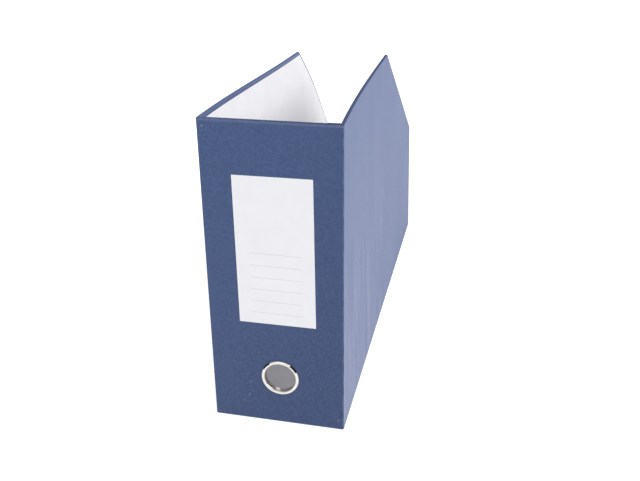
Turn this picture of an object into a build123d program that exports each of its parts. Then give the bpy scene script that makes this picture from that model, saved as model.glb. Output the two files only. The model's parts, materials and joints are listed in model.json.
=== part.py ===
from build123d import *
import os
from math import hypot

# An open-top file box of paper-covered greyboard. It stands on its base with the tall front
# panel facing -Y. The two side panels are level along the top and then cut down to a low back.
# Millimetres, +Z up; the origin is on the floor at the middle of the bounding box.

# Driving dimensions
WIDTH = 101.6          # 4 in, over the side panels at the base
HEIGHT = 240.0         # about 9.5 in, front panel and the level run of the sides
DEPTH = 400.0          # about 15.75 in, front face to back face
TOP_RUN = 224.0        # level run of the sides' top edge, from the front
BACK_HEIGHT = 122.0    # back panel, where the sloping cut ends

BOARD = 2.0            # greyboard
PAPER = 0.3            # blue covering paper with its paste
TAPE = 0.15            # kraft stay tape between board and covering
LINING = 0.2           # white lining paper

TURN_IN = 15.0         # covering folded under the base and round the back corners
TOP_MARGIN = 3.0       # covering that shows above the lining along the level rims
SLOPE_MARGIN = 1.5     # the same along the sloping rims
TAPE_LEG = 12.0        # one leg of an L-shaped stay tape
SHEET_INSET = 1.5      # the back and base sheets stop short of the corners by this

# Inward lean of each side panel's top edge: middle points of a Bezier line from front to back
BOW = {"left": (0, 0, 12, 18, 15, 0), "right": (0, 5, 6, 4, 5, 5)}
SIGN = {"left": -1, "right": 1}

LABEL_WIDTH, LABEL_HEIGHT, LABEL_THICK = 57.5, 114.5, 0.15
LABEL_X, LABEL_Z = 1.2, 143.6          # centre of the title label
LABEL_TILT = 0.3       # degrees: it is pasted slightly askew, its foot to the right

RING_X, RING_Z = 2.1, 40.6             # centre of the finger hole
RING_BORE = 11.75      # radii of the finger ring
RING_BARREL = 12.35
RING_OUTER = 14.6
RING_PROUD = 1.4       # how far the rolled rim stands out of the front
BOARD_HOLE = 12.5      # hole through the front board and its papers
WASHER_OUTER, WASHER_THICK = 16.0, 0.5
CLINCH_OUTER, CLINCH_PROUD = 14.0, 0.9  # the barrel's end, rolled over the washer
RIM_ROUND, CLINCH_ROUND = 1.2, 0.7     # radii of the ring's rolled edges

# Insets worked out from the layers
SKIN = PAPER + TAPE                    # outside of the box to the front and side boards
BACK_SKIN = 2 * PAPER + TAPE           # the back and the base also carry a closing sheet
WALL = SKIN + BOARD                    # outside to the inner face of a front or side board
BACK_WALL = BACK_SKIN + BOARD
FLOOR_TOP = BACK_SKIN + BOARD          # top of the base board
FAR = 60.0                             # overshoot of cutting bodies
REACH = HEIGHT + FAR                   # height that the bowed surfaces are drawn to
SLOPE = (HEIGHT - BACK_HEIGHT) / (DEPTH - TOP_RUN)
SLOPE_COS = 1 / hypot(1, SLOPE)


def rim_height(y, inset):
    """Height of the sloping rim at y, moved square inwards by inset."""
    return HEIGHT - (y - TOP_RUN) * SLOPE - inset / SLOPE_COS


def side_shape(front, back, floor, top, slope):
    """The side panel's five-cornered outline as a slab across the box, each edge moved inwards."""
    apex = TOP_RUN + (top - slope / SLOPE_COS) / SLOPE
    corners = [
        (front, floor),
        (front, HEIGHT - top),
        (apex, HEIGHT - top),
        (DEPTH - back, rim_height(DEPTH - back, slope)),
        (DEPTH - back, floor),
    ]
    outline = make_face(Polyline([(0, y, z) for y, z in corners], close=True))
    return extrude(outline, WIDTH, dir=(1, 0, 0), both=True)


def side_line(side, inset, height):
    """One side surface's line at a height: it leans inwards in proportion to the height."""
    step = DEPTH / (len(BOW[side]) - 1)
    lean = [bow * height / HEIGHT for bow in BOW[side]]
    x = WIDTH / 2 - inset
    return Edge.make_bezier(
        *[(SIGN[side] * (x - bow), i * step, height) for i, bow in enumerate(lean)]
    )


def between(outer, inner):
    """The solid between two side surfaces, each given as (side, inset)."""
    sections = []
    for height in (0, REACH):
        first, second = side_line(*outer, height), side_line(*inner, height)
        back = Edge.make_line(first @ 1, second @ 1)
        front = Edge.make_line(first @ 0, second @ 0)
        sections.append(Wire([first, back, second, front]))
    return Solid.make_loft(sections, ruled=True)


def room(inset):
    """Everything between the two bowed side surfaces, both moved inwards by inset."""
    return between(("left", inset), ("right", inset))


def layer(side, inset, thick):
    """A sheet that follows one side surface, starting inset from the outside."""
    return between((side, inset), (side, inset + thick))


def block(x, y, z):
    """A box from its three (low, high) pairs."""
    sizes = [high - low for low, high in (x, y, z)]
    middles = [(high + low) / 2 for low, high in (x, y, z)]
    return Pos(*middles) * Box(*sizes)


def across(inset):
    """The x span of the box, less inset at each side."""
    return (inset - WIDTH / 2, WIDTH / 2 - inset)


def drill(solid, radius):
    """Cut the finger hole through a piece of the front panel."""
    return solid - Pos(RING_X, 0, RING_Z) * Rot(90, 0, 0) * Cylinder(radius, FAR)


def boards():
    """The five greyboard panels."""
    front = block(across(0), (SKIN, WALL), (BACK_SKIN, HEIGHT - PAPER)) & room(SKIN)
    back_y = (DEPTH - BACK_WALL, DEPTH - BACK_SKIN)
    back = block(across(0), back_y, (BACK_SKIN, BACK_HEIGHT - PAPER))
    base = block(across(0), (WALL, DEPTH - BACK_WALL), (BACK_SKIN, FLOOR_TOP))
    sheets = {
        "front_board": drill(front, BOARD_HOLE),
        "back_board": back & room(WALL),
        "base_board": base & room(WALL),
    }
    for side in BOW:
        shape = side_shape(WALL, BACK_SKIN, BACK_SKIN, PAPER, PAPER)
        sheets[f"{side}_side_board"] = layer(side, SKIN, BOARD) & shape
    return sheets


def wrap_skin():
    """The wrap's outside: front, sides, rims, and its folds under the base and behind."""
    outside = room(0) & side_shape(0, PAPER, PAPER, 0, 0)
    inside = room(PAPER) & side_shape(PAPER, 2 * PAPER, 2 * PAPER, PAPER, PAPER)
    mouth_y = (WALL + PAPER, DEPTH - 2 * PAPER)
    mouth = room(WALL + PAPER) & block(across(0), mouth_y, (TURN_IN, HEIGHT + 1))
    back = block(across(TURN_IN), (DEPTH - WALL, DEPTH), (0, HEIGHT))
    notch = block(across(WALL + PAPER), (DEPTH - WALL, DEPTH), (BACK_HEIGHT - PAPER, HEIGHT))
    under = block(across(TURN_IN), (TURN_IN, DEPTH), (0, 2 * PAPER))
    return outside - inside - mouth - back - notch - under


def wrap_lip():
    """The wrap's turn-in inside the rims, reaching half way up into the rim's own paper."""
    half = PAPER / 2
    walls = room(WALL) & side_shape(WALL, BACK_WALL + PAPER, FLOOR_TOP, half, half)
    hollow = room(WALL + PAPER) & block(across(0), (WALL + PAPER, DEPTH), (0, HEIGHT + 1))
    below = side_shape(-FAR, -FAR, -FAR, PAPER + TOP_MARGIN, PAPER + SLOPE_MARGIN)
    return walls - hollow - below


def cover_wrap():
    """One blue sheet: front and sides, over their rims, and turned in at every edge."""
    return drill(wrap_skin() + wrap_lip(), BOARD_HOLE)


def closing_sheets():
    """The sheets that close the back and the base, each over the wrap's turn-ins."""
    reach = across(SHEET_INSET)
    narrow = room(WALL + PAPER)
    outer = block(reach, (DEPTH - PAPER, DEPTH), (PAPER, BACK_HEIGHT)) & room(SHEET_INSET)
    rim_y = (DEPTH - BACK_WALL - PAPER, DEPTH - PAPER)
    rim = block(across(0), rim_y, (BACK_HEIGHT - PAPER, BACK_HEIGHT)) & narrow
    lip_y = (DEPTH - BACK_WALL - PAPER, DEPTH - BACK_WALL)
    lip_z = (BACK_HEIGHT - PAPER - TOP_MARGIN, BACK_HEIGHT)
    lip = block(across(0), lip_y, lip_z) & narrow
    under_y = (DEPTH - TURN_IN, DEPTH - PAPER)
    under = block(across(TURN_IN), under_y, (PAPER, 2 * PAPER))
    base = block(reach, (SHEET_INSET, DEPTH - SHEET_INSET), (0, PAPER))
    pad_y = (TURN_IN, DEPTH - TURN_IN)
    pad = block(across(TURN_IN), pad_y, (PAPER, 2 * PAPER))
    return {"back_cover_sheet": outer + rim + lip + under, "base_cover_sheet": base + pad}


def linings():
    """White paper inside each wall and on the base."""
    foot = FLOOR_TOP
    face = WALL + LINING
    side_span = (WALL, DEPTH - BACK_WALL)
    lined = room(face)
    front_z = (foot, HEIGHT - PAPER - TOP_MARGIN)
    back_z = (foot, BACK_HEIGHT - PAPER - TOP_MARGIN)
    back_y = (DEPTH - BACK_WALL - LINING, DEPTH - BACK_WALL)
    base_y = (WALL + LINING, DEPTH - BACK_WALL - LINING)
    sheets = {
        "front_lining": drill(block(across(0), (WALL, face), front_z) & lined, BOARD_HOLE),
        "back_lining": block(across(0), back_y, back_z) & lined,
        "base_lining": block(across(0), base_y, (foot, foot + LINING)) & lined,
    }
    for side in BOW:
        shape = side_shape(
            side_span[0], BACK_WALL, foot, PAPER + TOP_MARGIN, PAPER + SLOPE_MARGIN
        )
        sheets[f"{side}_side_lining"] = layer(side, WALL, LINING) & shape
    return sheets


def corner_stays():
    """Kraft tape down the outside of each upright corner, under the covering."""
    stays = {}
    low = BACK_SKIN + TAPE_LEG
    for side in BOW:
        strip = layer(side, PAPER, TAPE)
        middle = SIGN[side] * (WIDTH / 2 - PAPER - TAPE_LEG / 2)
        leg_x = (middle - TAPE_LEG / 2, middle + TAPE_LEG / 2)
        wrapped = strip & block(
            across(0), (PAPER, PAPER + TAPE_LEG), (low, HEIGHT - PAPER)
        )
        flat = block(leg_x, (PAPER, SKIN), (low, HEIGHT - PAPER)) & room(PAPER)
        stays[f"front_{side}_corner_stay"] = wrapped + flat
        edge = DEPTH - 2 * PAPER
        wrapped = strip & block(across(0), (edge - TAPE_LEG, edge), (low, BACK_HEIGHT - PAPER))
        flat = block(leg_x, (edge - TAPE, edge), (low, BACK_HEIGHT - PAPER)) & room(PAPER)
        stays[f"back_{side}_corner_stay"] = wrapped + flat
    return stays


def base_stays():
    """Kraft tape along the four bottom edges, one leg up the wall and one under the base."""
    bottom = 2 * PAPER
    under_z = (bottom, bottom + TAPE)
    wall_z = (bottom, BACK_SKIN + TAPE_LEG)
    front_y, back_y = PAPER, DEPTH - 2 * PAPER
    inner = room(PAPER)
    stays = {
        "front_base_stay": (
            block(across(0), (front_y, front_y + TAPE), wall_z)
            + block(across(0), (front_y, front_y + TAPE_LEG), under_z)
        ) & inner,
        "back_base_stay": (
            block(across(0), (back_y - TAPE, back_y), wall_z)
            + block(across(0), (back_y - TAPE_LEG, back_y), under_z)
        ) & inner,
    }
    long_y = (front_y + TAPE, back_y - TAPE)
    short_y = (front_y + TAPE_LEG, back_y - TAPE_LEG)
    for side in BOW:
        upright = layer(side, PAPER, TAPE) & block(across(0), long_y, (BACK_SKIN, wall_z[1]))
        middle = SIGN[side] * (WIDTH / 2 - PAPER - TAPE_LEG / 2)
        leg_x = (middle - TAPE_LEG / 2, middle + TAPE_LEG / 2)
        corner = layer(side, PAPER, TAPE) & block(across(0), short_y, under_z)
        leg = block(leg_x, short_y, under_z) & inner
        stays[f"{side}_base_stay"] = upright + corner + leg
    return stays


def title_label():
    """The bare title label pasted on the front."""
    sheet = Box(LABEL_WIDTH, LABEL_THICK, LABEL_HEIGHT)
    return Pos(LABEL_X, -LABEL_THICK / 2, LABEL_Z) * Rot(0, -LABEL_TILT, 0) * sheet


def turned(corners, rounds):
    """Turn an outline of (radius, y) corners about the finger hole's axis; round named corners."""
    outline = make_face(Polyline([(r, y, 0) for r, y in corners], close=True))
    for radius, picked in rounds:
        points = [v for v in outline.vertices() if (round(v.X, 3), round(v.Y, 3)) in picked]
        outline = fillet(points, radius)
    return Pos(RING_X, 0, RING_Z) * revolve(outline, Axis.Y)


def finger_ring():
    """The nickel eyelet: a rolled rim outside, a barrel through the hole, a clinched end."""
    back = WALL + LINING + WASHER_THICK
    corners = [
        (RING_BORE, -RING_PROUD),
        (RING_OUTER, -RING_PROUD),
        (RING_OUTER, 0),
        (RING_BARREL, 0),
        (RING_BARREL, back),
        (CLINCH_OUTER, back),
        (CLINCH_OUTER, back + CLINCH_PROUD),
        (RING_BORE, back + CLINCH_PROUD),
    ]
    rim = {(RING_BORE, -RING_PROUD), (RING_OUTER, -RING_PROUD)}
    end = {(CLINCH_OUTER, back + CLINCH_PROUD), (RING_BORE, back + CLINCH_PROUD)}
    end = {(round(r, 3), round(y, 3)) for r, y in end}
    return turned(corners, [(RIM_ROUND, rim), (CLINCH_ROUND, end)])


def ring_washer():
    """The flat washer that the eyelet is clinched over, on the lining."""
    face = WALL + LINING
    corners = [
        (BOARD_HOLE, face),
        (WASHER_OUTER, face),
        (WASHER_OUTER, face + WASHER_THICK),
        (BOARD_HOLE, face + WASHER_THICK),
    ]
    return turned(corners, [])


def pieces():
    """Every node of the box by name, drawn with the front face at y = 0."""
    return {
        **boards(),
        "cover_wrap": cover_wrap(),
        **closing_sheets(),
        **linings(),
        **corner_stays(),
        **base_stays(),
        "title_label": title_label(),
        "finger_ring": finger_ring(),
        "ring_washer": ring_washer(),
    }


os.makedirs("parts", exist_ok=True)
centred = Pos(0, (RING_PROUD - DEPTH) / 2, 0)
for name, piece in pieces().items():
    export_step(centred * piece, f"parts/{name}.step")
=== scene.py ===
import json
from math import comb, cos, hypot, pi, radians, sin

import bmesh
import bpy
from mathutils import Matrix, Vector


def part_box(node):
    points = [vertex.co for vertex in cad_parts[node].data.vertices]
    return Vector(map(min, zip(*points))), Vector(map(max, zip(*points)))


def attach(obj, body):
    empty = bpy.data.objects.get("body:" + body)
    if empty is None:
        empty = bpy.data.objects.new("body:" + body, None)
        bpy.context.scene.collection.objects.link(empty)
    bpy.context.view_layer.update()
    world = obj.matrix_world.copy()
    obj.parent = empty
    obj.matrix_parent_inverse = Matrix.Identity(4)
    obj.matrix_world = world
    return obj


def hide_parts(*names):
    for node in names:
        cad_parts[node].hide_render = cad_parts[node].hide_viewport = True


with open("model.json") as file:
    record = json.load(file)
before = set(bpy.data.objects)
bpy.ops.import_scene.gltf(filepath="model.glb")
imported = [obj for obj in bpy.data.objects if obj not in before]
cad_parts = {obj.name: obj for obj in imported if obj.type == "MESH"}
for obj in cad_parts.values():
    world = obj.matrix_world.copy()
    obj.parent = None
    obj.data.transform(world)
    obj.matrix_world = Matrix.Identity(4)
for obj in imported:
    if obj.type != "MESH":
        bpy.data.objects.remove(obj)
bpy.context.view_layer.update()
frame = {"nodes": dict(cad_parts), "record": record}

# An open-top file box of paper-covered greyboard, in metres: the front faces -Y, +Z is up.

MM = 0.001

# Places read from the frame
WRAP_LOW, WRAP_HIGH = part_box("cover_wrap")
HALF = WRAP_HIGH[0]                                  # half the width over the side panels
FRONT = WRAP_LOW[1]
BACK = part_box("back_cover_sheet")[1][1]
TOP = WRAP_HIGH[2]
BACK_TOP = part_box("back_cover_sheet")[1][2]
BOARD_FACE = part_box("front_board")[1][1] - FRONT     # outside to the inner face of a wall's board
BACK_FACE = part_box("back_board")[0][1]
FLOOR_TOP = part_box("base_board")[1][2]
LINING_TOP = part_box("front_lining")[1][2]
BACK_LINING_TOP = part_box("back_lining")[1][2]
LABEL_LOW, LABEL_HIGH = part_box("title_label")
RING_LOW, RING_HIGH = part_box("finger_ring")
RING_X = (RING_LOW[0] + RING_HIGH[0]) / 2
RING_Z = (RING_LOW[2] + RING_HIGH[2]) / 2
WASHER_LOW, WASHER_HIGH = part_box("ring_washer")
DEPTH = BACK - FRONT

# The box's own sizes that no node's box gives
TOP_RUN = 224 * MM         # level run of the sides' top edge
PAPER = 0.3 * MM           # covering
LINING = 0.2 * MM
SLOPE_MARGIN = 1.8 * MM    # covering above the lining along the sloping rims
TURN_IN = 15 * MM
BOW = {-1: (0, 0, 12, 18, 15, 0), 1: (0, 5, 6, 4, 5, 5)}   # as in the CAD, millimetres
ROUND = 0.8 * MM           # the covering's radius round a board's edge
RIM = BOARD_FACE + PAPER
APEX = FRONT + TOP_RUN
SLOPE = (TOP - BACK_TOP) / (BACK - APEX)
SLOPE_COS = 1 / hypot(1, SLOPE)
SLOPE_OUT = Vector((0, SLOPE * SLOPE_COS, SLOPE_COS))   # square to the sloping rim
SHEET_INSET = 1.5 * MM     # the closing sheets stop this far short of the corners
LABEL_WIDE, LABEL_TALL, LABEL_THICK = 57.5 * MM, 114.5 * MM, 0.15 * MM
LABEL_TILT = 0.3           # degrees
HOLE = 12.5 * MM           # radius cut through the front's papers for the ring
RING_BORE = 11.75 * MM
RING_OUTER = RING_HIGH[0] - RING_X
CLINCH = 14 * MM           # radius of the barrel's end, rolled over the washer
METAL = 0.35 * MM          # the ring's sheet
CRISP = radians(40)        # folds sharper than this keep a crisp edge
MITRE = 3 * MM             # how far the laps' ends are cut back
RIPPLE = 5 * MM            # spacing of the cuts that let a bowed sheet bend smoothly
SPOKES = 96                # steps round the ring and washer
ROOM_LIGHT = 0.62          # the white room's strength as light, and the floor's own glow

# Marks of use and printing
NICKS = (((-21.0 * MM, 34.1 * MM), 43, 3.5 * MM), ((-22.8 * MM, 22.0 * MM), 49, 4 * MM))
SPECKS = (                                 # place on the front, radius, strength
    ((-46.7 * MM, 234.3 * MM), 0.9 * MM, 0.45),
    ((-26.8 * MM, 16.1 * MM), 0.9 * MM, 0.2),
    ((33.1 * MM, 35.4 * MM), 1.0 * MM, 0.15),
    ((46.5 * MM, 8.3 * MM), 0.9 * MM, 0.35),
)
CREASE = (48.3 * MM, 12.8 * MM)            # middle of the crease at the foot of the front
SCRATCHES = (                              # on the right side: middle, turn, length, strength
    ((FRONT + 236 * MM, 82 * MM), -43.6, 120 * MM, 0.2),
    ((FRONT + 160 * MM, 151 * MM), -19.4, 95 * MM, 0.06),
    ((FRONT + 219 * MM, 177 * MM), -60, 3 * MM, 0.30),
    ((FRONT + 188 * MM, 130 * MM), -60, 4 * MM, 0.30),
)
RULES, RULE_PITCH, RULE_LONG = 6, 9.5 * MM, 38.8 * MM
RULE_TOP, RULE_MIDDLE = -0.9 * MM, 0.4 * MM    # measured from the label's middle


# ---------------------------------------------------------------- materials

class Value:
    """A socket that carries a number; Python's operators add Math nodes to it."""

    def __init__(self, finish, socket):
        self.finish, self.socket = finish, socket

    def math(self, operation, *others):
        return self.finish.node("Math", {"operation": operation}, dict(enumerate((self, *others))))

    def __add__(self, other):
        return self.math("ADD", other)

    def __sub__(self, other):
        return self.math("SUBTRACT", other)

    def __rsub__(self, other):
        return (self * -1) + other

    def __mul__(self, other):
        return self.math("MULTIPLY", other)

    def __truediv__(self, other):
        return self.math("DIVIDE", other)

    __radd__, __rmul__ = __add__, __mul__

    def ramp(self, low, high):
        """0 below low, 1 above high and smooth between; low may be the larger."""
        sockets = {"Value": self, "From Min": low, "From Max": high}
        return self.finish.node("MapRange", {"interpolation_type": "SMOOTHSTEP"}, sockets)


class Finish:
    """One procedural material, read in the object's own coordinates."""

    def __init__(self, name, **constants):
        self.material = bpy.data.materials.new(name)
        self.material.use_nodes = True
        self.tree = self.material.node_tree
        self.shader = self.tree.nodes["Principled BSDF"]
        for key, value in constants.items():
            self.shader.inputs[key.replace("_", " ")].default_value = value
        self.place = self.node("TexCoord", out="Object")

    def feed(self, socket, value):
        if isinstance(value, Value):
            self.tree.links.new(value.socket, socket)
        else:
            socket.default_value = value

    def node(self, kind, settings=None, sockets=None, out=0):
        """Add any node: its settings first, then the values or links of its sockets."""
        family = "ShaderNodeTex" if kind == "Noise" else "ShaderNode"
        made = self.tree.nodes.new(family + kind)
        for key, value in (settings or {}).items():
            setattr(made, key, value)
        for key, value in (sockets or {}).items():
            self.feed(made.inputs[key], value)
        return Value(self, made.outputs[out])

    def axis(self, letter):
        return self.node("SeparateXYZ", sockets={"Vector": self.place}, out=letter)

    def stretched(self, x, y, z):
        """Object coordinates multiplied along each axis."""
        sockets = {0: self.place, 1: (x, y, z)}
        return self.node("VectorMath", {"operation": "MULTIPLY"}, sockets)

    def noise(self, scale, detail=2.0, where=None, roughness=0.5):
        sockets = {"Vector": where or self.place, "Scale": scale, "Detail": detail,
                   "Roughness": roughness}
        return self.node("Noise", sockets=sockets)

    def mix(self, factor, first, second):
        sockets = {0: factor, 6: first, 7: second}
        return self.node("Mix", {"data_type": "RGBA"}, sockets, out=2)

    def relief(self, height, depth, under=None):
        """A bump of the given height field, depth metres tall."""
        sockets = {"Height": height, "Distance": depth, "Strength": 1.0}
        if under:
            sockets["Normal"] = under
        return self.node("Bump", sockets=sockets)

    def show(self, **sockets):
        for key, value in sockets.items():
            self.feed(self.shader.inputs[key.replace("_", " ")], value)
        return self.material


def blob(finish, x, y, z, radius):
    """1 inside a small ball at a place on the object, fading to 0 at its edge."""
    sockets = {0: finish.place, 1: (x, y, z)}
    gap = finish.node("VectorMath", {"operation": "DISTANCE"}, sockets, out="Value")
    return gap.ramp(radius, radius * 0.4)


def stroke(finish, across, along, place, turn, long, wide):
    """1 on a short line across two axes' values, centred at place and turned by turn degrees."""
    c, s = cos(radians(turn)), sin(radians(turn))
    u, v = across - place[0], along - place[1]
    run = (u * c + v * s).math("ABSOLUTE").ramp(long / 2, long / 2 - 2 * wide)
    return run * (v * c - u * s).math("ABSOLUTE").ramp(wide, wide * 0.3)


def front_face(paper):
    """1 on the front, 0 elsewhere."""
    return paper.axis("Y").ramp(FRONT + 1.5 * MM, FRONT + MM)


def front_marks(paper):
    """Light nicks on the front: small specks, and short scratches by the ring."""
    x, z = paper.axis("X"), paper.axis("Z")
    marks = 0.0
    for place, radius, strength in SPECKS:
        marks = blob(paper, place[0], FRONT, place[1], radius) * strength + marks
    for place, turn, long in NICKS:
        marks = marks + stroke(paper, x, z, place, turn, long, 0.45 * MM) * 0.3
    return marks.math("MINIMUM", 1.0) * front_face(paper)


def crease_shadow(paper):
    """The short dark crease where the foot of the front's right edge is bruised."""
    x, z = paper.axis("X"), paper.axis("Z")
    return stroke(paper, x, z, CREASE, 58, 7 * MM, 0.6 * MM) * front_face(paper)


def side_scratches(paper):
    """Long faint scratches and two short ones on the right side panel."""
    y, z = paper.axis("Y"), paper.axis("Z")
    marks = 0.0
    for place, turn, long, strength in SCRATCHES:
        marks = stroke(paper, y, z, place, turn, long, 0.6 * MM) * strength + marks
    return marks * paper.axis("X").ramp(0, 10 * MM)


def normal_along(paper, letter):
    """How far the surface faces along an axis, from -1 to 1."""
    normal = paper.node("TexCoord", out="Normal")
    return paper.node("SeparateXYZ", sockets={"Vector": normal}, out=letter)


def shaded_rim_tops(paper):
    """1 on top of the rims, which are painted darker as painted shade; less towards the left."""
    up = normal_along(paper, "Z").ramp(0.35, 0.6) * paper.axis("Z").ramp(100 * MM, 110 * MM)
    return up * paper.axis("X").ramp(-90 * MM, 20 * MM)


def painted_light_margin(paper):
    """1 on the paper turned in over the side panels' rims, facing into the box, which is painted paler
    there as painted light.
    """
    return (normal_along(paper, "X") * paper.axis("X")).ramp(-20 * MM, -35 * MM)


def painted_edge_highlight(paper):
    """1 along the front's upper edge, where a light line is painted as a highlight."""
    z = paper.axis("Z")
    return z.ramp(TOP - 2.6 * MM, TOP - 1.8 * MM) * z.ramp(TOP - 0.4 * MM, TOP - MM) * front_face(paper)


def blue_paper():
    """Slate-blue covering paper with a soft gloss: fine mottle, upright streaks, rubbed edges."""
    paper = Finish("blue_cover_paper", Specular_IOR_Level=0.38, Coat_Roughness=0.25,
                   Sheen_Weight=0.3, Sheen_Roughness=0.35, Sheen_Tint=(0.36, 0.50, 1.0, 1))
    mottle = paper.noise(640, 4, roughness=0.6)
    cloud = paper.noise(45, 2)
    streak = paper.noise(420, 2, paper.stretched(1, 1, 0.03))
    band = paper.noise(95, 2, paper.stretched(1, 1, 0.06))
    fibre = paper.noise(2600, 2)
    # painted light: the paper is painted lighter towards the top left and darker towards the bottom right
    painted_light_fade = (paper.axis("Z") - paper.axis("X") * 1.2).ramp(-60 * MM, TOP + 60 * MM)
    dark = paper.mix(painted_light_fade, (0.018, 0.040, 0.116, 1), (0.029, 0.060, 0.160, 1))
    light = paper.mix(painted_light_fade, (0.038, 0.070, 0.178, 1), (0.050, 0.089, 0.216, 1))
    base = paper.mix(mottle.ramp(0.25, 0.75), dark, light)
    base = paper.mix(cloud.ramp(0.45, 0.75) * 0.2, base, (0.046, 0.078, 0.180, 1))
    sides = 1 - front_face(paper)
    base = paper.mix(band.ramp(0.45, 0.7) * sides * 0.15, base, (0.095, 0.078, 0.185, 1))
    base = paper.mix(streak.ramp(0.5, 0.72) * sides * 0.35, base, (0.080, 0.084, 0.214, 1))
    wear = paper.node("Attribute", {"attribute_name": "wear"}, out="Fac")
    scuff = wear * paper.noise(500, 3, paper.stretched(1, 1, 0.3)).ramp(0.3, 0.6)
    base = paper.mix(scuff * 0.25, base, (0.22, 0.28, 0.44, 1))
    # painted light: the turned-in margins facing into the box are painted paler, standing in for light
    # falling on them
    base = paper.mix(painted_light_margin(paper) * 0.55, base, (0.095, 0.125, 0.285, 1))
    # painted highlight: a light line along the front's upper edge
    base = paper.mix(painted_edge_highlight(paper) * 0.4, base, (0.14, 0.17, 0.30, 1))
    base = paper.mix(side_scratches(paper), base, (0.30, 0.33, 0.45, 1))
    # painted shade: the up-facing rim tops are painted darker, and are also made rougher and kept free of
    # coat
    rim_shade = shaded_rim_tops(paper)
    base = paper.mix(rim_shade * 0.6, base, (0.008, 0.015, 0.048, 1))
    base = paper.mix(crease_shadow(paper) * 0.7, base, (0.012, 0.020, 0.050, 1))
    base = paper.mix(front_marks(paper), base, (0.36, 0.40, 0.50, 1))
    rough = 0.28 + mottle * (0.14 + sides * 0.24) + streak * 0.14 + scuff * 0.08 + rim_shade * 0.35
    grain = mottle.ramp(0.3, 0.7) * 0.9 + streak.ramp(0.35, 0.65) * 0.9 + band.ramp(0.4, 0.7) * 0.4
    polish = paper.axis("Z").ramp(TOP, 20 * MM) * paper.axis("Y").ramp(BACK, FRONT) * 0.22 + 0.08
    polish = polish * grain * sides * (1 - rim_shade)
    skin = paper.relief(mottle + streak * 0.5, 0.05 * MM)
    skin = paper.relief(fibre, 0.008 * MM, skin)
    return paper.show(Base_Color=base, Roughness=rough, Coat_Weight=polish, Normal=skin)


def white_paper(name, tone, rough):
    """Uncoated white paper with a faint fibre."""
    paper = Finish(name)
    cloud = paper.noise(60, 3)
    fibre = paper.noise(1800, 3)
    dark = tuple(c * 0.965 for c in tone) + (1,)
    base = paper.mix(cloud.ramp(0.3, 0.7), dark, (*tone, 1))
    skin = paper.relief(fibre, 0.01 * MM, paper.relief(cloud, 0.15 * MM))
    return paper.show(Base_Color=base, Roughness=rough + fibre * 0.1, Normal=skin)


def title_paper():
    """The label's smooth white paper, with six fine ruled lines to write on."""
    paper = Finish("label_paper")
    fibre = paper.noise(1800, 3)
    cloud = paper.noise(60, 3)
    lean = radians(LABEL_TILT)
    middle = [(a + b) / 2 for a, b in zip(LABEL_LOW, LABEL_HIGH)]
    x, z = paper.axis("X") - middle[0], paper.axis("Z") - middle[2]
    across = x * cos(lean) - z * sin(lean)
    up = z * cos(lean) + x * sin(lean)
    phase = ((up - RULE_TOP) / RULE_PITCH).math("WRAP", 0.5, -0.5) * RULE_PITCH
    rule = phase.math("ABSOLUTE").ramp(0.35 * MM, 0.1 * MM)
    rows = up.ramp(RULE_TOP + 2 * MM, RULE_TOP + MM)
    rows = rows * up.ramp(RULE_TOP - (RULES - 0.5) * RULE_PITCH, RULE_TOP - (RULES - 0.7) * RULE_PITCH)
    reach = (across - RULE_MIDDLE).math("ABSOLUTE").ramp(RULE_LONG / 2, RULE_LONG / 2 - 0.3 * MM)
    base = paper.mix(cloud.ramp(0.3, 0.7), (0.835, 0.838, 0.868, 1), (0.855, 0.858, 0.888, 1))
    base = paper.mix(rule * rows * reach * 0.38, base, (0.42, 0.43, 0.47, 1))
    return paper.show(Base_Color=base, Roughness=0.5 + fibre * 0.1, Normal=paper.relief(fibre, 0.008 * MM))


def plated_metal(name, tone):
    """Bright nickel plate with fine handling marks, with painted shade in the ring's inner crease and
    painted dark reflections on its outer flank.
    """
    metal = Finish(name, Metallic=1.0)
    cloud = metal.noise(350, 3)
    marks = metal.noise(1500, 2, metal.stretched(1, 1, 0.2)).ramp(0.62, 0.75)
    base = metal.mix(cloud, (*tone, 1), tuple(c * 0.9 for c in tone) + (1,))
    x, y, z = metal.axis("X") - RING_X, metal.axis("Y"), metal.axis("Z") - RING_Z
    radius = (x * x + z * z).math("SQRT")
    front = y.ramp(FRONT + MM, FRONT)
    # painted shade: a dark thin ring in the crease between the rolled rim and the barrel
    groove_shade = radius.ramp(RING_BORE + 0.75 * MM, RING_BORE + 0.3 * MM) * front
    base = metal.mix(groove_shade * 0.55, base, (0.22, 0.20, 0.19, 1))
    flank = radius.ramp(RING_OUTER - 1.1 * MM, RING_OUTER - 0.8 * MM)
    # painted reflections: two dark arcs painted on the rim's outer flank
    for side in (-1, 1):
        dark_reflection = blob(metal, RING_X + side * 10.3 * MM, FRONT, RING_Z + 9.3 * MM, 4.6 * MM)
        base = metal.mix((dark_reflection * 2).math("MINIMUM", 1.0) * flank * front, base, (0.012, 0.010, 0.010, 1))
    rough = 0.12 + cloud * 0.08 + marks * 0.12
    return metal.show(Base_Color=base, Roughness=rough, Normal=metal.relief(cloud, 0.01 * MM))


def board_finish(name, dark, light):
    """Greyboard or kraft tape: matte fibres with darker flecks."""
    board = Finish(name)
    fibre = board.noise(900, 4, roughness=0.7)
    fleck = board.noise(450, 2).ramp(0.62, 0.7)
    base = board.mix(fibre.ramp(0.3, 0.7), (*dark, 1), (*light, 1))
    base = board.mix(fleck * 0.4, base, tuple(c * 0.5 for c in dark) + (1,))
    return board.show(Base_Color=base, Roughness=0.85 + fibre * 0.1, Normal=board.relief(fibre, 0.04 * MM))


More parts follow.
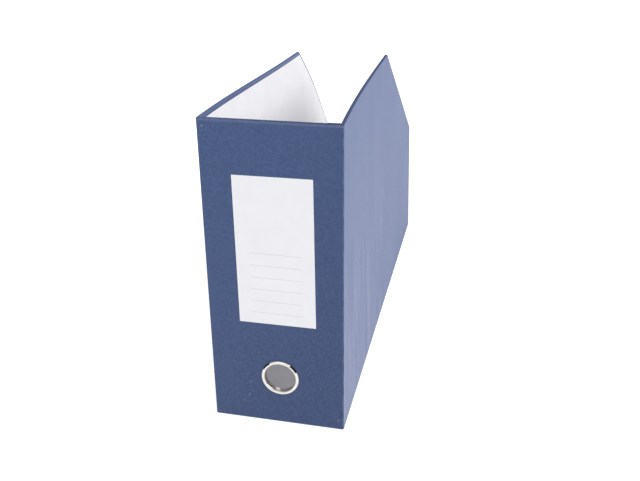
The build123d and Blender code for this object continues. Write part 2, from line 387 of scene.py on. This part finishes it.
BLUE = blue_paper()
WHITE = white_paper("white_lining_paper", (0.91, 0.905, 0.93), 0.7)
LABEL = title_paper()
NICKEL = plated_metal("ring_nickel", (0.66, 0.64, 0.60))
GREYBOARD = board_finish("greyboard", (0.30, 0.285, 0.26), (0.46, 0.44, 0.40))
KRAFT = board_finish("kraft_tape", (0.36, 0.24, 0.13), (0.52, 0.37, 0.22))

SLOT_FINISH = {
    "greyboard": GREYBOARD, "kraft_tape": KRAFT, "blue_cover_paper": BLUE,
    "white_lining_paper": WHITE, "label_paper": LABEL, "ring_nickel": NICKEL,
    "washer_nickel": NICKEL,
}


def dress_nodes():
    """Give every carried-over CAD node the finish of its material slot."""
    for part in frame["record"]["subparts"]:
        node = frame["nodes"][part["node"]]
        for slot in node.material_slots:
            slot.material = SLOT_FINISH[part["material_slot"]]


# ---------------------------------------------------------------- shaping

def lean(side, y, z):
    """How far a side panel leans inwards: a Bezier from front to back, growing with height."""
    along = (y - FRONT) / DEPTH
    last = len(BOW[side]) - 1
    weights = [comb(last, i) * along**i * (1 - along)**(last - i) for i in range(last + 1)]
    return MM * sum(w * b for w, b in zip(weights, BOW[side])) * z / TOP


def bow(bm):
    """Lean the side walls inwards; points between them follow in proportion."""
    wall = HALF - RIM - MM
    for v in bm.verts:
        side = 1 if v.co.x > 0 else -1
        v.co.x -= side * lean(side, v.co.y, v.co.z) * min(1, abs(v.co.x) / wall)


def rim_height(y, inset=0.0):
    """Height of the sloping rim at y, moved square inwards by inset."""
    return TOP - (y - APEX) * SLOPE - inset / SLOPE_COS


def margin_apex(top, slope):
    """Where lines inset below the level rim and inside the sloping rim meet."""
    return APEX + (top - slope / SLOPE_COS) / SLOPE


def cut(bm, place, square, drop=False):
    """Split every face along a plane, and drop what lies beyond it if asked."""
    geom = bm.verts[:] + bm.edges[:] + bm.faces[:]
    bmesh.ops.bisect_plane(bm, geom=geom, dist=1e-7, plane_co=place, plane_no=square, clear_outer=drop)


def slices(bm, axis, low, high, step):
    """Split faces at even steps along an axis, between two places."""
    count = max(1, round((high - low) / step))
    for i in range(1, count):
        place = [0, 0, 0]
        place[axis] = low + (high - low) * i / count
        cut(bm, place, [float(k == axis) for k in range(3)])


def facing(bm, *direction):
    """The faces that look along a direction."""
    bm.normal_update()
    return [f for f in bm.faces if f.normal.dot(Vector(direction)) > 0.95]


def face_out(bm, *direction):
    """Turn a sheet's faces one way, so that those along a direction's line look along it."""
    bmesh.ops.recalc_face_normals(bm, faces=bm.faces[:])
    if sum(f.calc_area() * f.normal.dot(Vector(direction)) for f in bm.faces) < 0:
        bmesh.ops.reverse_faces(bm, faces=bm.faces[:])


def new_face(bm, points):
    return bm.faces.new([bm.verts.new(p) for p in points])


def round_edges(bm, radius, steps=3, sharper=0.4):
    """Round every fold between two faces, and mark the rounded strips as worn."""
    wear = bm.faces.layers.float.new("wear")
    folds = [e for e in bm.edges if len(e.link_faces) == 2 and e.calc_face_angle() > sharper]
    made = bmesh.ops.bevel(
        bm, geom=folds, affect="EDGES", offset=radius, offset_type="OFFSET",
        segments=steps, profile=0.5, material=-1, clamp_overlap=True,
    )
    for face in made["faces"]:
        face[wear] = 1.0


def open_hole(bm, y):
    """Open the round hole for the finger ring in the sheet that lies at y."""
    reach = HOLE * 1.5
    for axis, middle in ((0, RING_X), (2, RING_Z)):
        for side in (-1, 1):
            place = [0, 0, 0]
            place[axis] = middle + side * reach
            cut(bm, place, [float(k == axis) for k in range(3)])
    hub = Vector((RING_X, y, RING_Z))
    patch = [f for f in bm.faces if (f.calc_center_median() - hub).length < reach / 2]
    sides = list(dict.fromkeys(e for f in patch for e in f.edges))   # in a fixed order
    bmesh.ops.delete(bm, geom=patch, context="FACES_ONLY")
    bmesh.ops.subdivide_edges(bm, edges=sides, cuts=15)
    near = {v for v in bm.verts if (v.co - hub).length < reach * 1.5}
    square = [e for e in bm.edges if e.is_boundary and set(e.verts) <= near]
    made = bmesh.ops.extrude_edge_only(bm, edges=square)["geom"]
    for v in (g for g in made if isinstance(g, bmesh.types.BMVert)):
        v.co = hub + (v.co - hub).normalized() * HOLE


def piece(name, bm, finish, slot, *nodes, thick=0.0, offset=-1):
    """Make a finished piece of a bmesh; thick gives a sheet its thickness along its normals."""
    mesh = bpy.data.meshes.new(name)
    bm.to_mesh(mesh)
    bm.free()
    mesh.polygons.foreach_set("use_smooth", [True] * len(mesh.polygons))
    mesh.materials.append(finish)
    made = bpy.data.objects.new(name, mesh)
    bpy.context.collection.objects.link(made)
    if thick:
        sheet = made.modifiers.new("thickness", "SOLIDIFY")
        sheet.thickness, sheet.offset, sheet.use_even_offset = thick, offset, True
        solid = made.evaluated_get(bpy.context.evaluated_depsgraph_get())
        made.data = bpy.data.meshes.new_from_object(solid)
        made.modifiers.clear()
    made.data.set_sharp_from_angle(angle=CRISP)
    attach(made, "root")
    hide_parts(*(nodes or (name,)))


# ---------------------------------------------------------------- covering papers

def block_past_the_back(low):
    """A closed five-cornered block the size of the box, run on past its back."""
    far = BACK + 4 * TURN_IN
    corners = [(FRONT, low), (FRONT, TOP), (APEX, TOP), (far, rim_height(far)), (far, low)]
    bm = bmesh.new()
    flank = new_face(bm, [(-HALF, y, z) for y, z in corners])
    made = bmesh.ops.extrude_face_region(bm, geom=[flank])["geom"]
    moved = [v for v in made if isinstance(v, bmesh.types.BMVert)]
    bmesh.ops.translate(bm, verts=moved, vec=(2 * HALF, 0, 0))
    bmesh.ops.recalc_face_normals(bm, faces=bm.faces[:])
    return bm


def turn_in_rims(bm):
    """Carry the sheet over the rims and down inside them, to the edge of the lining."""
    lids = facing(bm, 0, 0, 1) + facing(bm, *SLOPE_OUT)
    bmesh.ops.inset_region(bm, faces=lids, thickness=RIM, use_even_offset=True, use_boundary=True)
    made = bmesh.ops.extrude_face_region(bm, geom=lids)["geom"]
    level = TOP - LINING_TOP
    for v in (g for g in made if isinstance(g, bmesh.types.BMVert)):
        if v.co.y > APEX + MM:
            v.co.z = rim_height(v.co.y, SLOPE_MARGIN)
        else:
            if v.co.y > APEX - 2 * RIM:
                v.co.y = margin_apex(level, SLOPE_MARGIN)
            v.co.z = LINING_TOP
    caps = [g for g in made if isinstance(g, bmesh.types.BMFace)]
    caps += [f for f in lids if f.is_valid]
    bmesh.ops.delete(bm, geom=caps, context="FACES")


def lap_the_back(bm, back):
    """Fold the side sheets round the upright back corners."""
    for side in (-1, 1):
        upright = [
            e for e in bm.edges
            if all(abs(v.co.y - back) < 1e-6 and abs(v.co.x - side * HALF) < 1e-6 for v in e.verts)
        ]
        made = bmesh.ops.extrude_edge_only(bm, edges=upright)["geom"]
        low, high = sorted((v for v in made if isinstance(v, bmesh.types.BMVert)), key=lambda v: v.co.z)
        low.co += Vector((-side * TURN_IN, 0, MITRE))
        high.co += Vector((-side * TURN_IN, 0, -MITRE))


def cover_wrap():
    """One blue sheet round the sides and front, over the rims, under the base, round the back."""
    low, back = WRAP_LOW[2], WRAP_HIGH[1]
    bm = block_past_the_back(low)
    turn_in_rims(bm)
    under = facing(bm, 0, 0, -1)
    bmesh.ops.inset_region(bm, faces=under, thickness=TURN_IN, use_even_offset=True, use_boundary=True)
    bmesh.ops.delete(bm, geom=under, context="FACES")
    cut(bm, (0, back, 0), (0, 1, 0), drop=True)
    lap_the_back(bm, back)
    round_edges(bm, ROUND)
    open_hole(bm, FRONT)
    guard = ROUND + 0.4 * MM
    for side in (-1, 1):
        cut(bm, (side * (HALF - guard), 0, 0), (side, 0, 0))
    cut(bm, (0, FRONT + guard, 0), (0, 1, 0))
    cut(bm, (0, back - guard, 0), (0, 1, 0))
    cut(bm, (0, 0, low + guard), (0, 0, 1))
    cut(bm, (0, 0, TOP - guard), (0, 0, 1))
    cut(bm, Vector((0, APEX, TOP)) - guard * SLOPE_OUT, SLOPE_OUT)
    slices(bm, 1, FRONT, BACK, RIPPLE)
    slices(bm, 2, RING_Z + 2 * HOLE, TOP, 20 * MM)
    bow(bm)
    piece("cover_wrap_sheet", bm, BLUE, "blue_cover_paper", "cover_wrap", thick=PAPER)


def ribbon(stations):
    """A sheet swept through (y, z, half width) stations."""
    bm = bmesh.new()
    y, z, wide = stations[0]
    edge = bm.edges.new([bm.verts.new((side * wide, y, z)) for side in (-1, 1)])
    for y, z, wide in stations[1:]:
        made = bmesh.ops.extrude_edge_only(bm, edges=[edge])["geom"]
        edge = next(g for g in made if isinstance(g, bmesh.types.BMEdge))
        for v in edge.verts:
            v.co = (wide if v.co.x > 0 else -wide, y, z)
    return bm


def back_sheet():
    """The blue sheet over the back, folded over its rim and under the base."""
    inner = BACK_FACE - PAPER
    narrow = HALF - RIM
    wide = HALF - SHEET_INSET
    bm = ribbon([
        (BACK - TURN_IN, PAPER, HALF - TURN_IN - MM),
        (BACK, PAPER, wide - MM),
        (BACK, PAPER + 2 * MM, wide),
        (BACK, BACK_TOP - 2 * MM, wide),
        (BACK, BACK_TOP, narrow),
        (inner, BACK_TOP, narrow),
        (inner, BACK_LINING_TOP, narrow),
    ])
    face_out(bm, 0, 1, 0)
    round_edges(bm, ROUND)
    for side in (-1, 1):
        for i in range(4):
            cut(bm, (side * HALF * (i + 0.5) / 4, 0, 0), (side, 0, 0))
    slices(bm, 2, PAPER, BACK_TOP, 12 * MM)
    bow(bm)
    piece("back_cover", bm, BLUE, "blue_cover_paper", "back_cover_sheet", thick=PAPER)


def flat_sheet(x, y, z, corner=0.0):
    """A flat sheet between (low, high) pairs, one of which is a single place."""
    spans = [s if isinstance(s, tuple) else (s,) for s in (x, y, z)]
    fixed = next(i for i, s in enumerate(spans) if len(s) == 1)
    first, second = (i for i in range(3) if i != fixed)
    points = []
    for a, b in ((0, 0), (1, 0), (1, 1), (0, 1)):
        point = [0.0] * 3
        point[fixed], point[first], point[second] = spans[fixed][0], spans[first][a], spans[second][b]
        points.append(point)
    bm = bmesh.new()
    face = new_face(bm, points)
    if corner:
        bmesh.ops.bevel(bm, geom=list(face.verts), affect="VERTICES", offset=corner, segments=3,
                        profile=0.5, material=-1)
    return bm


def base_sheet():
    """The blue sheet pasted over the whole underside."""
    reach = HALF - SHEET_INSET
    span = (FRONT + SHEET_INSET, BACK - SHEET_INSET)
    bm = flat_sheet((-reach, reach), span, 0.0, corner=2 * MM)
    face_out(bm, 0, 0, -1)
    slices(bm, 0, -reach, reach, 12 * MM)
    slices(bm, 1, *span, 12 * MM)
    piece("base_cover", bm, BLUE, "blue_cover_paper", "base_cover_sheet", thick=PAPER)


# ---------------------------------------------------------------- linings

def side_lining(side):
    """White paper on a side panel's inner face, cut to the panel's outline less a margin."""
    near, far = FRONT + BOARD_FACE, BACK_FACE
    knee = margin_apex(TOP - LINING_TOP, SLOPE_MARGIN)
    corners = [(near, FLOOR_TOP), (near, LINING_TOP), (knee, LINING_TOP),
               (far, rim_height(far, SLOPE_MARGIN)), (far, FLOOR_TOP)]
    bm = bmesh.new()
    new_face(bm, [(side * (HALF - BOARD_FACE), y, z) for y, z in corners])
    face_out(bm, -side, 0, 0)
    slices(bm, 1, near, far, RIPPLE)
    slices(bm, 2, FLOOR_TOP, LINING_TOP, 20 * MM)
    bow(bm)
    name = "left_side_lining" if side < 0 else "right_side_lining"
    piece(name + "_sheet", bm, WHITE, "white_lining_paper", name, thick=LINING, offset=1)


def end_lining(name, y, top, outward, hole=False):
    """White paper on the inner face of the front or back board."""
    reach = HALF - BOARD_FACE - LINING
    bm = flat_sheet((-reach, reach), y, (FLOOR_TOP, top))
    face_out(bm, 0, outward, 0)
    if hole:
        open_hole(bm, y)
        slices(bm, 2, RING_Z + 2 * HOLE, top, 12 * MM)
    else:
        slices(bm, 2, FLOOR_TOP, top, 12 * MM)
    bow(bm)
    piece(name + "_sheet", bm, WHITE, "white_lining_paper", name, thick=LINING, offset=1)


def base_lining():
    """White paper on the base board."""
    reach = HALF - BOARD_FACE - LINING
    span = (FRONT + BOARD_FACE + LINING, BACK_FACE - LINING)
    bm = flat_sheet((-reach, reach), span, FLOOR_TOP)
    face_out(bm, 0, 0, 1)
    slices(bm, 1, *span, 12 * MM)
    bow(bm)
    piece("base_lining_sheet", bm, WHITE, "white_lining_paper", "base_lining", thick=LINING, offset=1)


# ---------------------------------------------------------------- label and ring

def title_label():
    """The white title label, pasted slightly askew."""
    bm = bmesh.new()
    bmesh.ops.create_grid(bm, x_segments=12, y_segments=24, size=0.5)
    bmesh.ops.scale(bm, verts=bm.verts[:], vec=(LABEL_WIDE, LABEL_TALL, 1))
    middle = (Vector(LABEL_LOW) + Vector(LABEL_HIGH)) / 2
    turn = Matrix.Rotation(radians(-LABEL_TILT), 4, "Y") @ Matrix.Rotation(pi / 2, 4, "X")
    place = Matrix.Translation((middle.x, FRONT - LABEL_THICK, middle.z))
    bmesh.ops.transform(bm, verts=bm.verts[:], matrix=place @ turn)
    face_out(bm, 0, -1, 0)
    piece("title_label_sheet", bm, LABEL, "label_paper", "title_label", thick=LABEL_THICK)


def spun(stations, closed=False):
    """Turn an outline of (radius, y) stations about the finger hole's axis."""
    bm = bmesh.new()
    verts = [bm.verts.new((RING_X + r, y, RING_Z)) for r, y in stations]
    pairs = list(zip(verts, verts[1:]))
    if closed:
        pairs.append((verts[-1], verts[0]))
    edges = [bm.edges.new(pair) for pair in pairs]
    bmesh.ops.spin(bm, geom=verts + edges, cent=(RING_X, 0, RING_Z), axis=(0, 1, 0),
                   angle=2 * pi, steps=SPOKES, use_merge=True)
    bmesh.ops.remove_doubles(bm, verts=bm.verts[:], dist=1e-7)
    bmesh.ops.recalc_face_normals(bm, faces=bm.faces[:])
    return bm


def arc(middle_r, middle_y, wide, tall, start, stop, steps):
    """Stations on part of an ellipse in the (radius, y) plane; angles in degrees."""
    angles = [radians(start + (stop - start) * i / steps) for i in range(steps + 1)]
    return [(middle_r + wide * cos(a), middle_y + tall * sin(a)) for a in angles]


def finger_ring():
    """The nickel eyelet: rolled rim, barrel and an end clinched over the washer."""
    proud = FRONT - RING_LOW[1]
    half_rim = (RING_OUTER - RING_BORE) / 2
    end = WASHER_HIGH[1]
    curl = (CLINCH - RING_BORE) / 2
    stations = [(RING_OUTER - 0.2 * MM, FRONT)]
    stations += arc(RING_BORE + half_rim, FRONT - 0.1 * MM, half_rim, proud - 0.1 * MM, 0, -180, 14)
    stations += arc(RING_BORE + curl, end, curl, RING_HIGH[1] - end, 180, 0, 8)
    bm = spun(stations)
    piece("finger_ring_metal", bm, NICKEL, "ring_nickel", "finger_ring", thick=METAL)


def ring_washer():
    """The flat washer behind the clinched end."""
    inner, outer = HOLE, WASHER_HIGH[0] - RING_X
    near, far = WASHER_LOW[1], WASHER_HIGH[1]
    edge = 0.15 * MM
    stations = [(inner, near), (outer - edge, near), (outer, near + edge), (outer, far - edge),
                (outer - edge, far), (inner, far)]
    piece("ring_washer_metal", spun(stations, closed=True), NICKEL, "washer_nickel", "ring_washer")


# ---------------------------------------------------------------- camera, light and floor

def camera():
    """Seen from above and to the right of the front."""
    yaw, pitch, roll = radians(13.53), radians(22.94), radians(-0.83)
    ahead = Vector((-sin(yaw) * cos(pitch), cos(yaw) * cos(pitch), -sin(pitch)))
    right = ahead.cross(Vector((0, 0, 1))).normalized()
    up = right.cross(ahead)
    tilted_right = right * cos(roll) + up * sin(roll)
    tilted_up = up * cos(roll) - right * sin(roll)
    lens = bpy.data.cameras.new("camera")
    lens.sensor_width, lens.lens = 36, 44.92
    lens.shift_x, lens.shift_y = 0.0095, -0.0377
    eye = bpy.data.objects.new("camera", lens)
    turn = Matrix((tilted_right, tilted_up, -ahead)).transposed().to_4x4()
    eye.matrix_world = Matrix.Translation((0.1467, FRONT - 0.4854, 0.3859)) @ turn
    bpy.context.collection.objects.link(eye)
    bpy.context.scene.camera = eye


def sun(name, power, spread, towards):
    """A soft light that shines along a direction."""
    data = bpy.data.lights.new(name, "SUN")
    data.energy, data.angle = power, radians(spread)
    lamp = bpy.data.objects.new(name, data)
    lamp.rotation_euler = Vector(towards).to_track_quat("-Z", "Y").to_euler()
    bpy.context.collection.objects.link(lamp)


def seen_ray(tree):
    """1 for rays that show the surroundings: from the camera, or by reflection or glass."""
    paths = tree.nodes.new("ShaderNodeLightPath")
    total = paths.outputs["Is Camera Ray"]
    for name in ("Is Glossy Ray", "Is Transmission Ray"):
        either = tree.nodes.new("ShaderNodeMath")
        either.operation = "MAXIMUM"
        tree.links.new(total, either.inputs[0])
        tree.links.new(paths.outputs[name], either.inputs[1])
        total = either.outputs[0]
    return total


def surroundings():
    """A white room: plain for light, pure white where it is seen or mirrored."""
    world = bpy.data.worlds.new("room")
    world.use_nodes = True
    bpy.context.scene.world = world
    tree = world.node_tree
    sky = tree.nodes["Background"]
    sky.inputs["Color"].default_value = (1, 1, 1, 1)
    level = tree.nodes.new("ShaderNodeMapRange")
    level.inputs["To Min"].default_value = ROOM_LIGHT
    level.inputs["To Max"].default_value = 1.0
    tree.links.new(seen_ray(tree), level.inputs["Value"])
    tree.links.new(level.outputs[0], sky.inputs["Strength"])


def floor():
    """A wide pale floor that keeps the box's soft shadow."""
    bm = bmesh.new()
    bmesh.ops.create_grid(bm, x_segments=1, y_segments=1, size=30)
    mesh = bpy.data.meshes.new("floor")
    bm.to_mesh(mesh)
    ground = bpy.data.objects.new("floor", mesh)
    bpy.context.collection.objects.link(ground)
    finish = bpy.data.materials.new("floor")
    finish.use_nodes = True
    tree = finish.node_tree
    shader = tree.nodes["Principled BSDF"]
    shader.inputs["Base Color"].default_value = (0.86, 0.86, 0.86, 1)
    shader.inputs["Roughness"].default_value = 0.9
    shader.inputs["Emission Color"].default_value = (1, 1, 1, 1)
    lift = tree.nodes.new("ShaderNodeMath")
    lift.operation = "MULTIPLY"
    lift.inputs[1].default_value = ROOM_LIGHT
    tree.links.new(seen_ray(tree), lift.inputs[0])
    tree.links.new(lift.outputs[0], shader.inputs["Emission Strength"])
    mesh.materials.append(finish)


cover_wrap()
back_sheet()
base_sheet()
side_lining(-1)
side_lining(1)
end_lining("front_lining", FRONT + BOARD_FACE, LINING_TOP, 1, hole=True)
end_lining("back_lining", BACK_FACE, BACK_LINING_TOP, -1)
base_lining()
title_label()
finger_ring()
ring_washer()
camera()
surroundings()
floor()
sun("key", 1.9, 40, (-0.85, 0.25, -0.62))
sun("fill", 0.36, 50, (0.12, 0.78, -0.7))
bpy.context.scene.view_settings.view_transform = "Standard"
dress_nodes()
